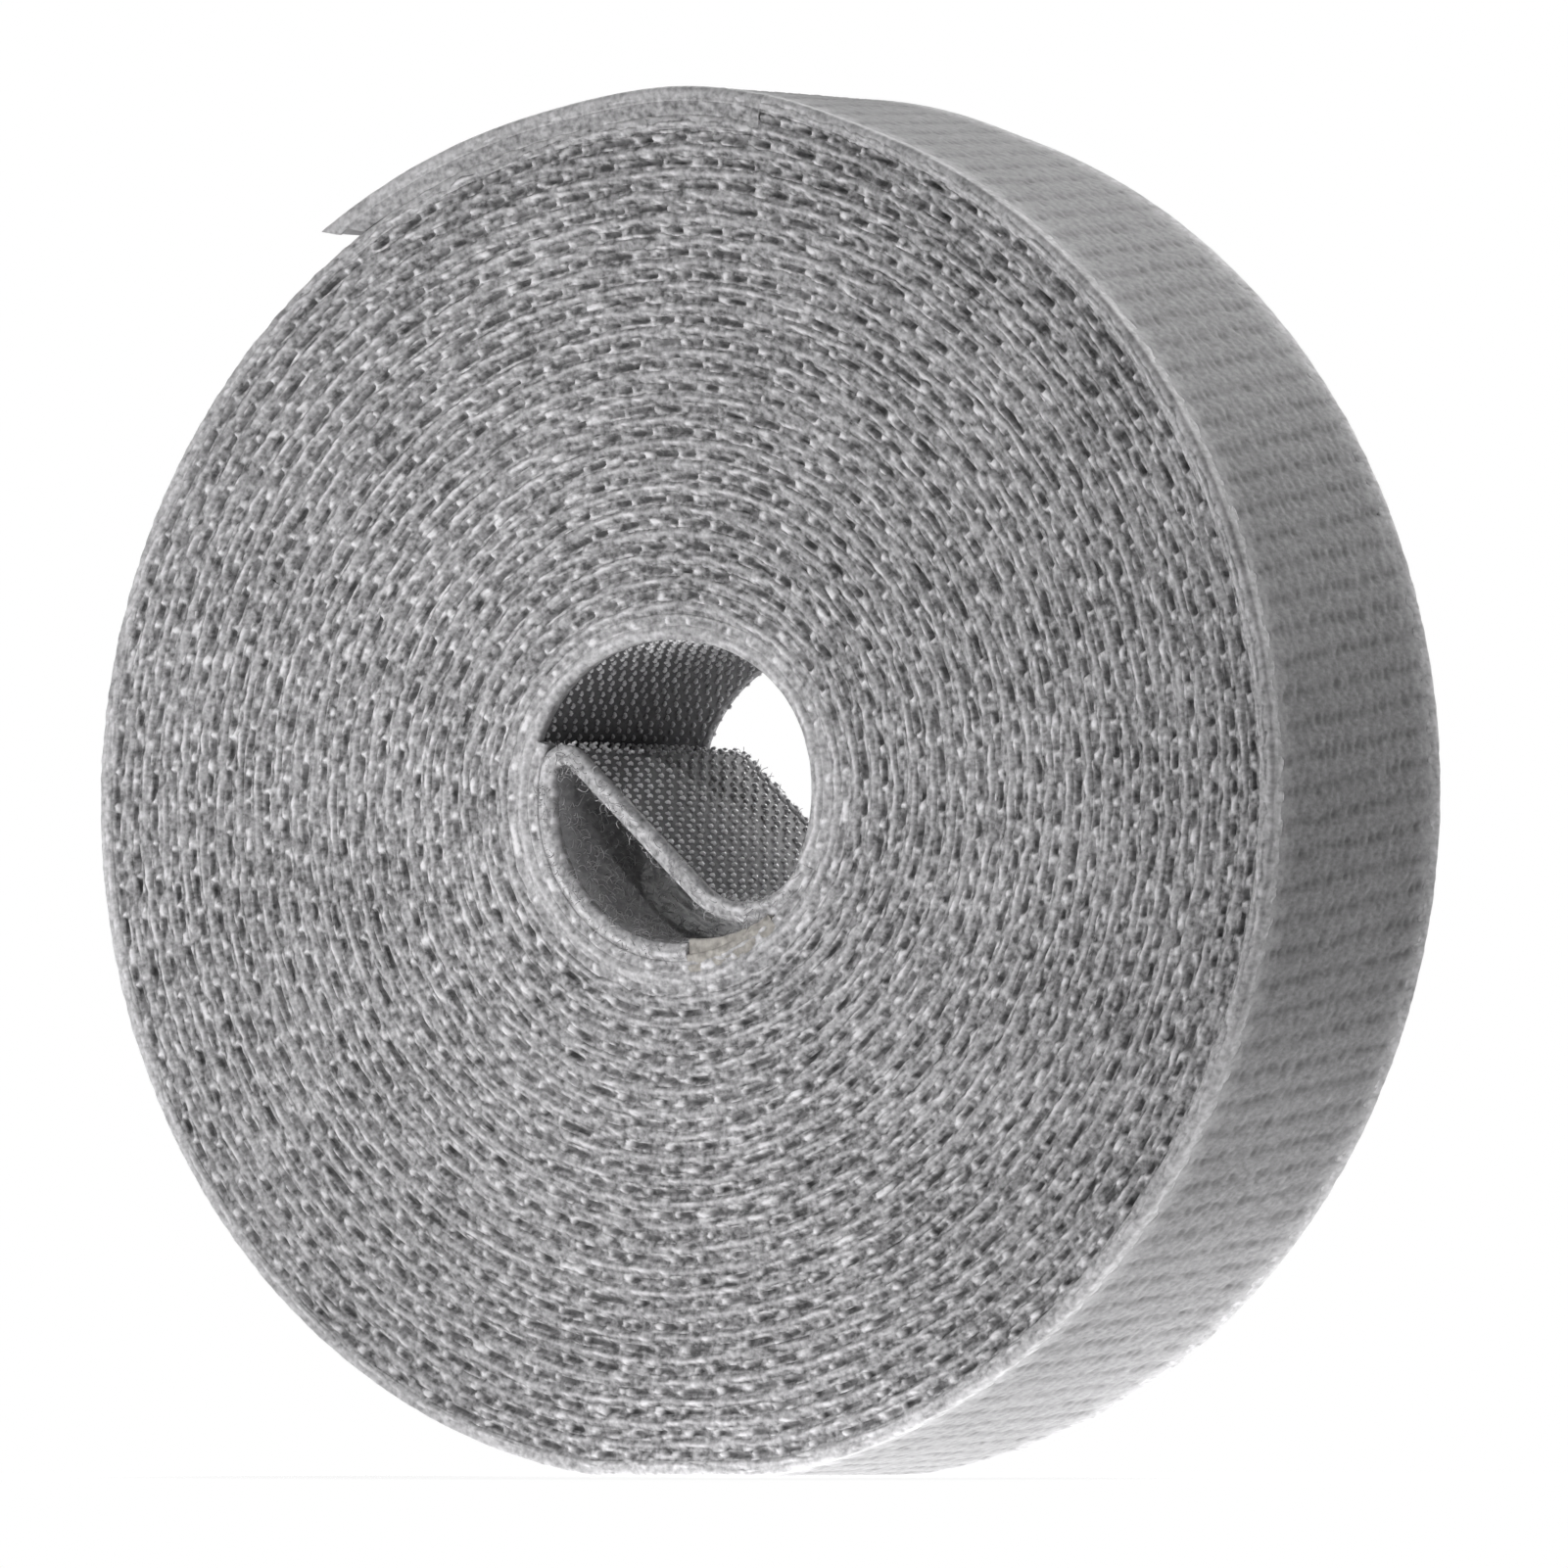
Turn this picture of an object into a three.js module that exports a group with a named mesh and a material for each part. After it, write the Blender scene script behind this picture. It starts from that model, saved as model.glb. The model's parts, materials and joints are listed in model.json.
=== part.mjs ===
// A roll of back-to-back hook and loop tape, wound on itself without a core.
// The tape is two plies bonded back to back: a loop ply that faces out and a hook ply that faces in.
// Millimetres, +Z up. The roll stands on its rim, its axis along Y and its front face towards -Y.
// Angles are in degrees, counter-clockwise as seen from the front, from +X towards +Z.

import * as THREE from "three";

// The tape.
const tapeWidth = 20;
const hookPly = 0.3;
const bondLine = 0.1;
const loopPly = 0.6;

// The winding.
const boreRadius = 9.4;
const wholeTurns = 23;
const turnGap = 0.33;
const stepsPerTurn = 22;

// The outer end, which peels off the roll.
const outerEndAngle = 124;
const outerEndLength = 30;
const outerEndLift = 0.25;

// The inner tail, which leaves the bore's wall, crosses the bore and curls back along the far wall.
const tailLeaveAngle = -25;
const tailLeaveRadius = 4.5;
const tailCurlRadius = 1.4;
const tailCurlAngle = 170;
const tailCutAngle = 275;
const tailWallGap = 0.35;
const tailStep = 15;

// The slit where a ply is parted for a joint.
const jointSlit = 0.3;

const loopColour = 0x8d8b8e;
const hookColour = 0x676465;

// Places across the tape's thickness, from the hook face.
const bondMiddle = hookPly + bondLine / 2;
const loopStart = hookPly + bondLine;
const tapeThickness = loopStart + loopPly;
const pitch = tapeThickness + turnGap;

// The winding's angle starts where the tail leaves the wall and runs outwards.
const woundAngle = wholeTurns * 360 + outerEndAngle - tailLeaveAngle;
const step = 360 / stepsPerTurn;
const downAngle = 270;

const radians = THREE.MathUtils.degToRad;

// The hook face's radius at a winding angle.
function hookRadius(angle) {
  return boreRadius + (pitch * angle) / 360;
}

// An arc's angle, in degrees.
function arcAngle(length, radius) {
  return THREE.MathUtils.radToDeg(length / radius);
}

// A station is a point of the hook face in the XZ plane, with the direction towards the loop face.
function rollStation(angle, lift = 0) {
  const direction = radians(tailLeaveAngle + angle);
  const radius = hookRadius(angle) + lift;
  const x = Math.cos(direction);
  const z = Math.sin(direction);
  return { x: radius * x, z: radius * z, nx: x, nz: z };
}

// The angles of a stretch of the winding. Every turn has its corners on the same rays, which lie
// half a step to each side of straight down, so that the roll rests on one flat step.
function windingAngles(from, to) {
  const firstRay = downAngle + step / 2 - tailLeaveAngle;
  const least = step / 100;
  const angles = [from];
  for (let ray = Math.ceil((from - firstRay) / step); ray * step + firstRay < to - least; ray++) {
    const angle = ray * step + firstRay;
    if (angle > from + least) angles.push(angle);
  }
  angles.push(to);
  return angles;
}

// The level of the flat on which the roll rests: the higher corner of the outermost step at the bottom.
const outerEndStart = woundAngle - arcAngle(outerEndLength, hookRadius(woundAngle));
const lastBottom = woundAngle - ((((outerEndAngle - downAngle) % 360) + 360) % 360);
const restLevel =
  -(hookRadius(lastBottom - step / 2) + tapeThickness) * Math.cos(radians(step / 2));

// One ply as a closed strip, between two places across the tape's thickness.
function plyGeometry(stations, inner, outer, pivot) {
  const half = tapeWidth / 2;
  const corners = [
    [inner, -half],
    [outer, -half],
    [outer, half],
    [inner, half],
  ];
  const sides = corners.length;
  const position = [];
  for (const { x, z, nx, nz } of stations) {
    for (const [place, y] of corners) {
      const level = Math.max(z + nz * place, restLevel);
      position.push(x + nx * place - pivot.x, y, level - pivot.z);
    }
  }
  const index = [];
  const end = (stations.length - 1) * sides;
  for (let start = 0; start < end; start += sides) {
    for (let side = 0; side < sides; side++) {
      const near = start + side;
      const next = start + ((side + 1) % sides);
      index.push(near, next, next + sides, near, next + sides, near + sides);
    }
  }
  index.push(0, 2, 1, 0, 3, 2);
  index.push(end, end + 1, end + 2, end, end + 2, end + 3);
  const geometry = new THREE.BufferGeometry();
  geometry.setAttribute("position", new THREE.Float32BufferAttribute(position, 3));
  geometry.setIndex(index);
  geometry.computeVertexNormals();
  return geometry;
}

// The least distance between the two faces of a ply across the gap from one turn to the next,
// measured on points along each step. Points nearer along the ply than apart aren't compared.
function leastGap(stations, inner, outer, apart) {
  const perStep = 4;
  const innerFace = [];
  const outerFace = [];
  for (let i = 0; i + 1 < stations.length; i++) {
    for (let k = 0; k < perStep; k++) {
      const share = k / perStep;
      const [a, b] = [stations[i], stations[i + 1]];
      for (const [face, place] of [
        [innerFace, inner],
        [outerFace, outer],
      ]) {
        const x = THREE.MathUtils.lerp(a.x + a.nx * place, b.x + b.nx * place, share);
        const z = THREE.MathUtils.lerp(a.z + a.nz * place, b.z + b.nz * place, share);
        face.push(new THREE.Vector2(x, z));
      }
    }
  }
  let least = Infinity;
  const far = apart * perStep;
  for (let i = 0; i < innerFace.length; i++) {
    for (let k = 0; k < innerFace.length; k++) {
      if (Math.abs(i - k) < far) continue;
      least = Math.min(least, innerFace[i].distanceTo(outerFace[k]));
      least = Math.min(least, innerFace[i].distanceTo(innerFace[k]));
      least = Math.min(least, outerFace[i].distanceTo(outerFace[k]));
    }
  }
  return least;
}

// Stations on an arc about a centre, from one direction to another, a step apart or less.
// The loop face lies outside the arc, or inside it where the tape turns the other way.
function arcStations(centre, bondRadius, from, to, loopOutside) {
  const count = Math.max(1, Math.ceil(Math.abs(to - from) / tailStep));
  const sign = loopOutside ? 1 : -1;
  const radius = bondRadius - sign * bondMiddle;
  const stations = [];
  for (let i = 0; i <= count; i++) {
    const direction = radians(THREE.MathUtils.lerp(from, to, i / count));
    const x = Math.cos(direction);
    const z = Math.sin(direction);
    stations.push({
      x: centre.x + radius * x,
      z: centre.y + radius * z,
      nx: sign * x,
      nz: sign * z,
    });
  }
  return stations;
}

// The tail's route follows four tangent stretches: an arc off the wall, a straight across the bore,
// a tight curl the other way, and an arc along the far wall to the cut.
function tailStations() {
  const leaveBond = boreRadius + bondMiddle;
  const leaveDirection = radians(tailLeaveAngle);
  const leaveCentre = new THREE.Vector2(Math.cos(leaveDirection), Math.sin(leaveDirection));
  leaveCentre.multiplyScalar(leaveBond - tailLeaveRadius);

  // The wall is nearest where the tail comes down on it, so that place sets the last arc.
  const farWall = hookRadius(tailCurlAngle - tailLeaveAngle) * Math.cos(radians(step / 2));
  const farBond = farWall - tailWallGap - bondMiddle;
  const curlDirection = radians(tailCurlAngle);
  const curlCentre = new THREE.Vector2(Math.cos(curlDirection), Math.sin(curlDirection));
  curlCentre.multiplyScalar(farBond - tailCurlRadius);

  // The straight is the crossed tangent of the two bends.
  const across = curlCentre.clone().sub(leaveCentre);
  const lean = Math.asin((tailLeaveRadius + tailCurlRadius) / across.length());
  const heading = THREE.MathUtils.radToDeg(across.angle() - lean);

  const slitAngle = arcAngle(jointSlit, tailLeaveRadius);
  const route = [
    ...arcStations(leaveCentre, tailLeaveRadius, tailLeaveAngle - slitAngle, heading + 90 - 360, true),
    ...arcStations(curlCentre, tailCurlRadius, heading - 90, tailCurlAngle, false),
    ...arcStations(new THREE.Vector2(), farBond, tailCurlAngle, tailCutAngle, false).slice(1),
  ];
  return route.reverse();
}

// Each stretch runs outwards along the tape, as the winding does.
const slitWound = arcAngle(jointSlit, hookRadius(outerEndStart));
const rollStations = windingAngles(0, outerEndStart).map((angle) => rollStation(angle));
const outerEndStations = windingAngles(outerEndStart + slitWound, woundAngle).map((angle) => {
  const share = (angle - outerEndStart) / (woundAngle - outerEndStart);
  return rollStation(angle, outerEndLift * share * share);
});
const innerTailStations = tailStations();

// The outer end peels about the line on its loop face where it parts from the roll. The tail flexes
// about the line on its hook face where it leaves the wall.
function facePoint(angle, place) {
  const station = rollStation(angle);
  return new THREE.Vector3(station.x + station.nx * place, 0, station.z + station.nz * place);
}
const axle = new THREE.Vector3();
const peelPivot = facePoint(outerEndStart, tapeThickness);
const flexPivot = facePoint(0, 0);

function plyMaterial(color) {
  return new THREE.MeshStandardMaterial({ color, roughness: 0.95, metalness: 0 });
}

// Both plies of one stretch of the tape, in a group that turns about the stretch's own pivot.
function tapeStretch(name, stations, pivot, apart) {
  const stretch = new THREE.Group();
  stretch.position.copy(pivot);
  const plies = [
    ["loop_web", loopStart, tapeThickness, loopColour],
    ["hook_web", 0, hookPly, hookColour],
  ];
  for (const [ply, inner, outer, colour] of plies) {
    const geometry = plyGeometry(stations, inner, outer, pivot);
    const web = new THREE.Mesh(geometry, plyMaterial(colour));
    web.name = name + "_" + ply;
    stretch.add(web);
    if (apart < stations.length) {
      const gap = leastGap(stations, inner, outer, apart);
      console.log(web.name + " least gap to itself " + gap.toFixed(2) + " mm");
    }
  }
  return stretch;
}

const tapeRoll = new THREE.Group();
const tailApart = 6;
tapeRoll.add(tapeStretch("roll", rollStations, axle, stepsPerTurn / 2));
tapeRoll.add(tapeStretch("outer_end", outerEndStations, peelPivot, stepsPerTurn / 2));
tapeRoll.add(tapeStretch("inner_tail", innerTailStations, flexPivot, tailApart));

// The part's origin is under the middle of the roll, on the surface that it stands on.
const box = new THREE.Box3().setFromObject(tapeRoll);
tapeRoll.position.set(-(box.min.x + box.max.x) / 2, 0, -box.min.z);

export default tapeRoll;
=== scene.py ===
import json
import math

import bpy
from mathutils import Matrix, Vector

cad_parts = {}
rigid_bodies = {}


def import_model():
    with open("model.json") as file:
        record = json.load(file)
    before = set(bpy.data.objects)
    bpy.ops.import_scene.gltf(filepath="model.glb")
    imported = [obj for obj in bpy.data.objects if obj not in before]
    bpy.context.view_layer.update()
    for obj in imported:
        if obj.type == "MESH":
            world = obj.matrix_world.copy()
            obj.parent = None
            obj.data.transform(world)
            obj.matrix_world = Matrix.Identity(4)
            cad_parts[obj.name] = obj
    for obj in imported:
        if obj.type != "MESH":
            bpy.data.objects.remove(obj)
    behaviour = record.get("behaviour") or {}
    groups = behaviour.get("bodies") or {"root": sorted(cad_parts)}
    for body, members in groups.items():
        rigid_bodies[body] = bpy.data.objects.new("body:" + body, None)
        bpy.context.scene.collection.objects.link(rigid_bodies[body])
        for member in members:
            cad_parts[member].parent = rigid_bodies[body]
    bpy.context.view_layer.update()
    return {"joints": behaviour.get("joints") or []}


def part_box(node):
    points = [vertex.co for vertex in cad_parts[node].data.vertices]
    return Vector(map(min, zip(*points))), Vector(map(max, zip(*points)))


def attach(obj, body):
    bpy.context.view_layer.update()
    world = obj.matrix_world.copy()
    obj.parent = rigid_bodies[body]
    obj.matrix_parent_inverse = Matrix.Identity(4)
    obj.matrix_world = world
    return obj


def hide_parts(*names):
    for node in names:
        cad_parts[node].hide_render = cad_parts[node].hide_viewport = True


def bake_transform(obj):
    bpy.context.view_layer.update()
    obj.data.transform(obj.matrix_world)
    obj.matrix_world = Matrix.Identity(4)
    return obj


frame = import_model()

mm = 0.001
fullTurn = 2 * math.pi

# the tape and the way it is wound, in millimetres and degrees
tape = {
    "thickness": 1.0,      # from the hook face to the loop face
    "turnPitch": 1.33,
    "boreRadius": 9.4,
    "wholeTurns": 23,
    "endAngle": 124,       # the outer end's cut, counter-clockwise from the right
    "endLength": 30,
    "endLift": 0.25,
    "tailAngle": -25,      # where the tail leaves the bore's wall
    "tailRadius": 4.5,
    "curlRadius": 1.4,
    "curlAngle": 170,
    "tailCutAngle": 275,
    "wallGap": 0.45,
    "bondPlace": 0.35,
    # what follows is in the looks alone
    "endLoft": 0.2,        # the end lies looser than the turns below
    "endOverhang": 2,      # the pile reaches past the cut, and the edges half as far
    "endSlant": 1.0,       # how far the cut runs back across the thickness
    "endSlantReach": 5,
    "sag": 0.7,            # the innermost turns have sunk at the top of the bore
    "sagTurns": 6,
    "sagReach": 70,
    "crown": 0.5,          # the outermost turns stand off at the top, where the end begins
    "crownTurns": 5,
    "crownReach": (14, 20),      # before and after its highest place
    "crownPast": 3,        # how far that lies past the end's start
    "flatFade": 8,         # how far into the roll the flat at the bottom is felt
    "flatSoftness": 0.06,
}


class Wire:
    def __init__(self, tree, socket=None):
        self.tree = tree
        self.socket = socket

    def feed(self, target, value):
        if isinstance(value, Wire):
            self.tree.links.new(value.socket, target)
        else:
            target.default_value = value

    def make(self, kind, settings=None, sockets=None, out=0):
        node = self.tree.nodes.new(kind)
        for name, value in (settings or {}).items():
            setattr(node, name, value)
        for name, value in (sockets or {}).items():
            self.feed(node.inputs[name], value)
        return Wire(self.tree, node.outputs[out])

    def other(self, out):
        return Wire(self.tree, self.socket.node.outputs[out])

    def math(self, operation, *values):
        return self.make("ShaderNodeMath", {"operation": operation}, dict(enumerate(values)))

    def vector(self, operation, *values, out=0):
        return self.make("ShaderNodeVectorMath", {"operation": operation}, dict(enumerate(values)), out)

    def scaled(self, factor):
        return self.make("ShaderNodeVectorMath", {"operation": "SCALE"}, {0: self, "Scale": factor})

    def plus(self, other):
        return self.vector("ADD", self, other)

    def __add__(self, other):
        return self.math("ADD", self, other)

    def __radd__(self, other):
        return self.math("ADD", other, self)

    def __sub__(self, other):
        return self.math("SUBTRACT", self, other)

    def __rsub__(self, other):
        return self.math("SUBTRACT", other, self)

    def __mul__(self, other):
        return self.math("MULTIPLY", self, other)

    def __rmul__(self, other):
        return self.math("MULTIPLY", other, self)

    def __truediv__(self, other):
        return self.math("DIVIDE", self, other)

    def __rtruediv__(self, other):
        return self.math("DIVIDE", other, self)

    def __pow__(self, other):
        return self.math("POWER", self, other)


# camera, from the outline in the photograph
photoView = {
    "azimuth": 31.31,
    "elevation": -1.21,
    "distance": 1.578,
    "across": -0.0066,     # how far the roll's front centre sits from the middle of the frame
    "upward": -0.00065,
    "focalPixels": 27130,
    "framePixels": 1601,
    "sensor": 36,
}


def placeCamera(target):
    azimuth = math.radians(photoView["azimuth"])
    elevation = math.radians(photoView["elevation"])
    back = Vector((math.sin(azimuth) * math.cos(elevation),
                   -math.cos(azimuth) * math.cos(elevation),
                   math.sin(elevation)))
    right = Vector((math.cos(azimuth), math.sin(azimuth), 0))
    up = back.cross(right)
    data = bpy.data.cameras.new("photoCamera")
    data.sensor_width = photoView["sensor"]
    data.lens = photoView["focalPixels"] / photoView["framePixels"] * photoView["sensor"]
    camera = bpy.data.objects.new("photoCamera", data)
    bpy.context.scene.collection.objects.link(camera)
    camera.location = (target + back * photoView["distance"]
                       - right * photoView["across"] - up * photoView["upward"])
    camera.rotation_euler = (-back).to_track_quat("-Z", "Y").to_euler()
    bpy.context.scene.camera = camera


# the roll's centre and its length of winding, from the joints
pivots = {joint["name"]: Vector(joint["pos_m"]) for joint in frame["joints"]}
tailTurn = math.radians(tape["tailAngle"])
rollCentre = pivots["inner_tail_flex"] / mm
rollCentre -= Vector((math.cos(tailTurn), 0, math.sin(tailTurn))) * tape["boreRadius"]
halfWidth = (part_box("roll_loop_web")[1].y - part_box("roll_loop_web")[0].y) / 2 / mm
woundAngle = tape["wholeTurns"] * 360 + tape["endAngle"] - tape["tailAngle"]


def hookRadius(winding):
    return tape["boreRadius"] + tape["turnPitch"] * winding / 360


endStart = woundAngle - math.degrees(tape["endLength"] / hookRadius(woundAngle))
bottomWinding = woundAngle - (tape["endAngle"] - 270) % 360
placeCamera(Vector((rollCentre.x, -halfWidth, rollCentre.z)) * mm)
print("camera placed")


def smoothStep(value):
    value = min(max(value, 0), 1)
    return value * value * (3 - 2 * value)


# the winding is round, and pressed flat where it stands
def pressFlat(radius, degrees):
    direction = math.radians(degrees)
    fromBottom = (degrees - 270 + 180) % 360 - 180
    outermost = hookRadius(bottomWinding + fromBottom) + tape["thickness"]
    below = outermost * math.cos(math.radians(fromBottom)) - rollCentre.z
    push = (below + math.hypot(below, tape["flatSoftness"])) / 2
    fade = smoothStep((radius + tape["thickness"] - outermost) / tape["flatFade"] + 1)
    return radius * math.cos(direction), radius * math.sin(direction) + push * fade


def boreSag(winding):
    fromTop = (tape["tailAngle"] + winding - 90 + 180) % 360 - 180
    reach = max(0, math.cos(math.radians(fromTop * 90 / tape["sagReach"])))
    depth = max(0, 1 - winding / 360 / tape["sagTurns"])
    return tape["sag"] * reach ** 2 * depth ** 2


def crownRise(winding):
    aside = (winding - endStart - tape["crownPast"] + 180) % 360 - 180
    reach = tape["crownReach"][aside > 0]
    slope = max(0, math.cos(math.radians(min(abs(aside) / reach, 1) * 90)))
    depth = min(1, max(0, 1 - (endStart - winding) / 360 / tape["crownTurns"]))
    return tape["crown"] * slope ** 2 * depth ** 2


def windingRoute(first, last, step, lift=0.0, loft=0.0):
    count = max(1, math.ceil((last - first) / step))
    route = []
    for index in range(count + 1):
        winding = first + (last - first) * index / count
        share = max(0, (winding - endStart) / (woundAngle - endStart))
        radius = hookRadius(winding) - boreSag(winding) + crownRise(winding)
        radius += lift * share * share + loft * smoothStep(share * 4)
        route.append(pressFlat(radius, tape["tailAngle"] + winding))
    return route


def arcRoute(centre, radius, first, last, step, growth=0.0):
    count = max(1, math.ceil(abs(last - first) / step))
    route = []
    for index in range(count + 1):
        turn = math.radians(first + (last - first) * index / count)
        reach = radius + growth * index / count
        route.append((centre[0] + reach * math.cos(turn), centre[1] + reach * math.sin(turn)))
    return route


# an arc off the wall, a straight across the bore, a tight curl the other way, an arc along the far wall
def tailRoute(step):
    bond = tape["bondPlace"]
    leave = tape["boreRadius"] + bond - tape["tailRadius"]
    leaveCentre = Vector((math.cos(tailTurn), math.sin(tailTurn))) * leave
    curlTurn = math.radians(tape["curlAngle"])
    farBond = hookRadius(tape["curlAngle"] - tape["tailAngle"]) - tape["wallGap"] - bond
    curlCentre = Vector((math.cos(curlTurn), math.sin(curlTurn))) * (farBond - tape["curlRadius"])
    across = curlCentre - leaveCentre
    lean = math.asin((tape["tailRadius"] + tape["curlRadius"]) / across.length)
    heading = math.degrees(math.atan2(across.y, across.x) - lean)
    hookLeave = tape["tailRadius"] - bond  # the hook face is inside this arc, outside the next two
    route = arcRoute(leaveCentre, hookLeave, tape["tailAngle"], heading + 90 - 360, step)
    route += arcRoute(curlCentre, tape["curlRadius"] + bond, heading - 90, tape["curlAngle"], step)
    growth = hookRadius(tape["tailCutAngle"]) - hookRadius(tape["curlAngle"])  # keeps to the wall
    route += arcRoute((0, 0), farBond + bond, tape["curlAngle"], tape["tailCutAngle"], step, growth)[1:]
    return route[::-1]


# the tape's edges are smooth at the bore and at the rim, and frayed between
calmRange = {"bore": 150, "boreFade": 450, "rimFade": 120, "rimCalm": 0.45, "endFade": 40, "endCalm": 0.9}


def windingCalm(first, last, count):
    calm = []
    for index in range(count):
        winding = first + (last - first) * index / (count - 1)
        bore = 1 - smoothStep((winding - calmRange["bore"]) / calmRange["boreFade"])
        rim = smoothStep((winding - endStart + 360) / calmRange["rimFade"]) * calmRange["rimCalm"]
        end = smoothStep((winding - endStart) / calmRange["endFade"] + 0.5) * calmRange["endCalm"]
        calm.append(max(bore, rim, end))
    return calm


# a route becomes a line of vertices that knows its loop side and its distance along the tape
def layPath(name, route, calm, firstAlong=0.0):
    points = [Vector((x, z)) for x, z in route]
    along = [firstAlong]
    for before, after in zip(points, points[1:]):
        along.append(along[-1] + (after - before).length)
    towards = []
    for index in range(len(points)):
        ahead = points[min(index + 1, len(points) - 1)]
        behind = points[max(index - 1, 0)]
        step = (ahead - behind).normalized()
        towards += [step.y, 0, -step.x]
    vertices = [((p.x + rollCentre.x) * mm, 0, (p.y + rollCentre.z) * mm) for p in points]
    mesh = bpy.data.meshes.new(name)
    mesh.from_pydata(vertices, [(i, i + 1) for i in range(len(points) - 1)], [])
    mesh.attributes.new("loopSide", "FLOAT_VECTOR", "POINT").data.foreach_set("vector", towards)
    mesh.attributes.new("along", "FLOAT", "POINT").data.foreach_set("value", [a * mm for a in along])
    mesh.attributes.new("calm", "FLOAT", "POINT").data.foreach_set("value", calm)
    return mesh, along[-1]


def layWinding(name, first, last, step, firstAlong, lift=0.0, loft=0.0):
    route = windingRoute(first, last, step, lift, loft)
    return layPath(name, route, windingCalm(first, last, len(route)), firstAlong)


pathStep = {"winding": 3.75, "rim": 1.25, "end": 1.0, "tail": 4.0}
halfWay = 15.5 * 360       # as much tape inside as outside
underRim = endStart - 360
boreStretches = {"wall": ((4, 186), (304, 352)), "lip": (186, 360)}  # the rest of the wall lies behind the tail
tuck = {"from": 300.3, "to": 337, "rise": 0.95}  # it starts just past the tail's cut


def layEnd(name, last, first=endStart):
    return layWinding(name, first, last, pathStep["end"], rollLength, tape["endLift"], tape["endLoft"])


def layBore(name, first, last):
    return layWinding(name, first, last, pathStep["winding"], tailLength)[0]


tailPoints = tailRoute(pathStep["tail"])
tailPath, tailLength = layPath("tailPath", tailPoints, [1.0] * len(tailPoints))
innerPath, innerLength = layWinding("innerPath", 0, halfWay, pathStep["winding"], tailLength)
outerPath, rollLength = layWinding("outerPath", halfWay, endStart, pathStep["winding"], innerLength)
tapeLength = layEnd("endPath", woundAngle)[1]
endPilePath = layEnd("endPilePath", woundAngle + tape["endOverhang"])[0]
endEdgePath = layEnd("endEdgePath", woundAngle + tape["endOverhang"] / 2)[0]
rollPath = layBore("rollPath", 0, endStart)
buriedPaths = {"Inner": layBore("buriedPath", 0, halfWay)}
buriedPaths["Outer"], rimAlong = layWinding("buriedPath", halfWay, underRim, pathStep["winding"], innerLength)
rimPath = layWinding("rimPath", underRim, endStart, pathStep["rim"], rimAlong)[0]
wallPaths = [layBore("wallPath", *stretch) for stretch in boreStretches["wall"]]
lipPath = layBore("lipPath", *boreStretches["lip"])
tuckInner = hookRadius(tuck["from"]) - tuck["rise"]
tuckRoute = arcRoute((0, 0), tuckInner, tuck["from"] + tape["tailAngle"], tuck["to"] + tape["tailAngle"],
                     pathStep["winding"], hookRadius(tuck["to"]) - tuckInner)
tuckPaths = [layBore("tuckPath", tuck["from"], tuck["to"]),
             layPath("tuckRisePath", tuckRoute, [1.0] * len(tuckRoute), tailLength)[0]]
hookPaths = {  # hooks keep clear of the cuts
    "outerEnd": layEnd("endHooks", woundAngle - 0.5, endStart + 1)[0],
    "innerTail": layPath("tailHooks", tailPoints[2:-1], [1.0] * (len(tailPoints) - 3))[0],
}
print("tape laid,", round(tapeLength), "mm long")


# trees start with a line or sheet of tape and end in realized, finished meshes
def startTree(name, **labels):
    tree = bpy.data.node_groups.new(name, "GeometryNodeTree")
    tree.interface.new_socket("Geometry", in_out="OUTPUT", socket_type="NodeSocketGeometry")
    tree.interface.new_socket("Geometry", in_out="INPUT", socket_type="NodeSocketGeometry")
    for kind, names in dict(labels, Material="Material").items():
        for label in names.split(", "):
            kindOfSocket = "NodeSocket" + kind.replace("Length", "Float")
            socket = tree.interface.new_socket(label, in_out="INPUT", socket_type=kindOfSocket)
            if kind == "Length":
                socket.subtype = "DISTANCE"
    return Wire(tree).make("NodeGroupInput")


def endTree(given, geometry):
    whole = given.make("GeometryNodeRealizeInstances", None, {0: geometry})
    smooth = given.make("GeometryNodeSetShadeSmooth", None, {0: whole})
    finished = given.make("GeometryNodeSetMaterial", None, {0: smooth, "Material": given.other("Material")})
    output = given.tree.nodes.new("NodeGroupOutput")
    given.tree.links.new(finished.socket, output.inputs[0])
    return given.tree


def named(given, name, kind="FLOAT"):
    return given.make("GeometryNodeInputNamedAttribute", {"data_type": kind}, {"Name": name})


def kept(given, geometry, name, value, kind="FLOAT", domain="POINT"):
    return given.make("GeometryNodeStoreNamedAttribute", {"data_type": kind, "domain": domain},
                      {0: geometry, "Name": name, "Value": value})


def chance(given, low, high, salt):
    seed = given.make("ShaderNodeMath", {"operation": "MULTIPLY_ADD"}, {0: given.other("Seed"), 1: 31, 2: salt})
    return given.make("FunctionNodeRandomValue", {"data_type": "FLOAT"}, {2: low, 3: high, "Seed": seed}, 1)


def noiseAt(given, x, y, z, detail=1.0, out="Fac"):
    place = given.make("ShaderNodeCombineXYZ", None, {0: x, 1: y, 2: z})
    return given.make("ShaderNodeTexNoise", None, {"Vector": place, "Scale": 1.0, "Detail": detail}, out)


# the same noise as a swing of about one to each side of nought
def swing(given, x, y, z, detail=1.0):
    return (noiseAt(given, x, y, z, detail) - 0.5) * 4


# a round hump of height one about a centre
def hump(given, value, centre, width):
    return given.math("MAXIMUM", 1 - ((value - centre) / width) ** 2, 0)


def ease(given, value, low, high):
    return given.make("ShaderNodeMapRange", {"interpolation_type": "SMOOTHSTEP"},
                      {"Value": value, "From Min": low, "From Max": high})


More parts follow.
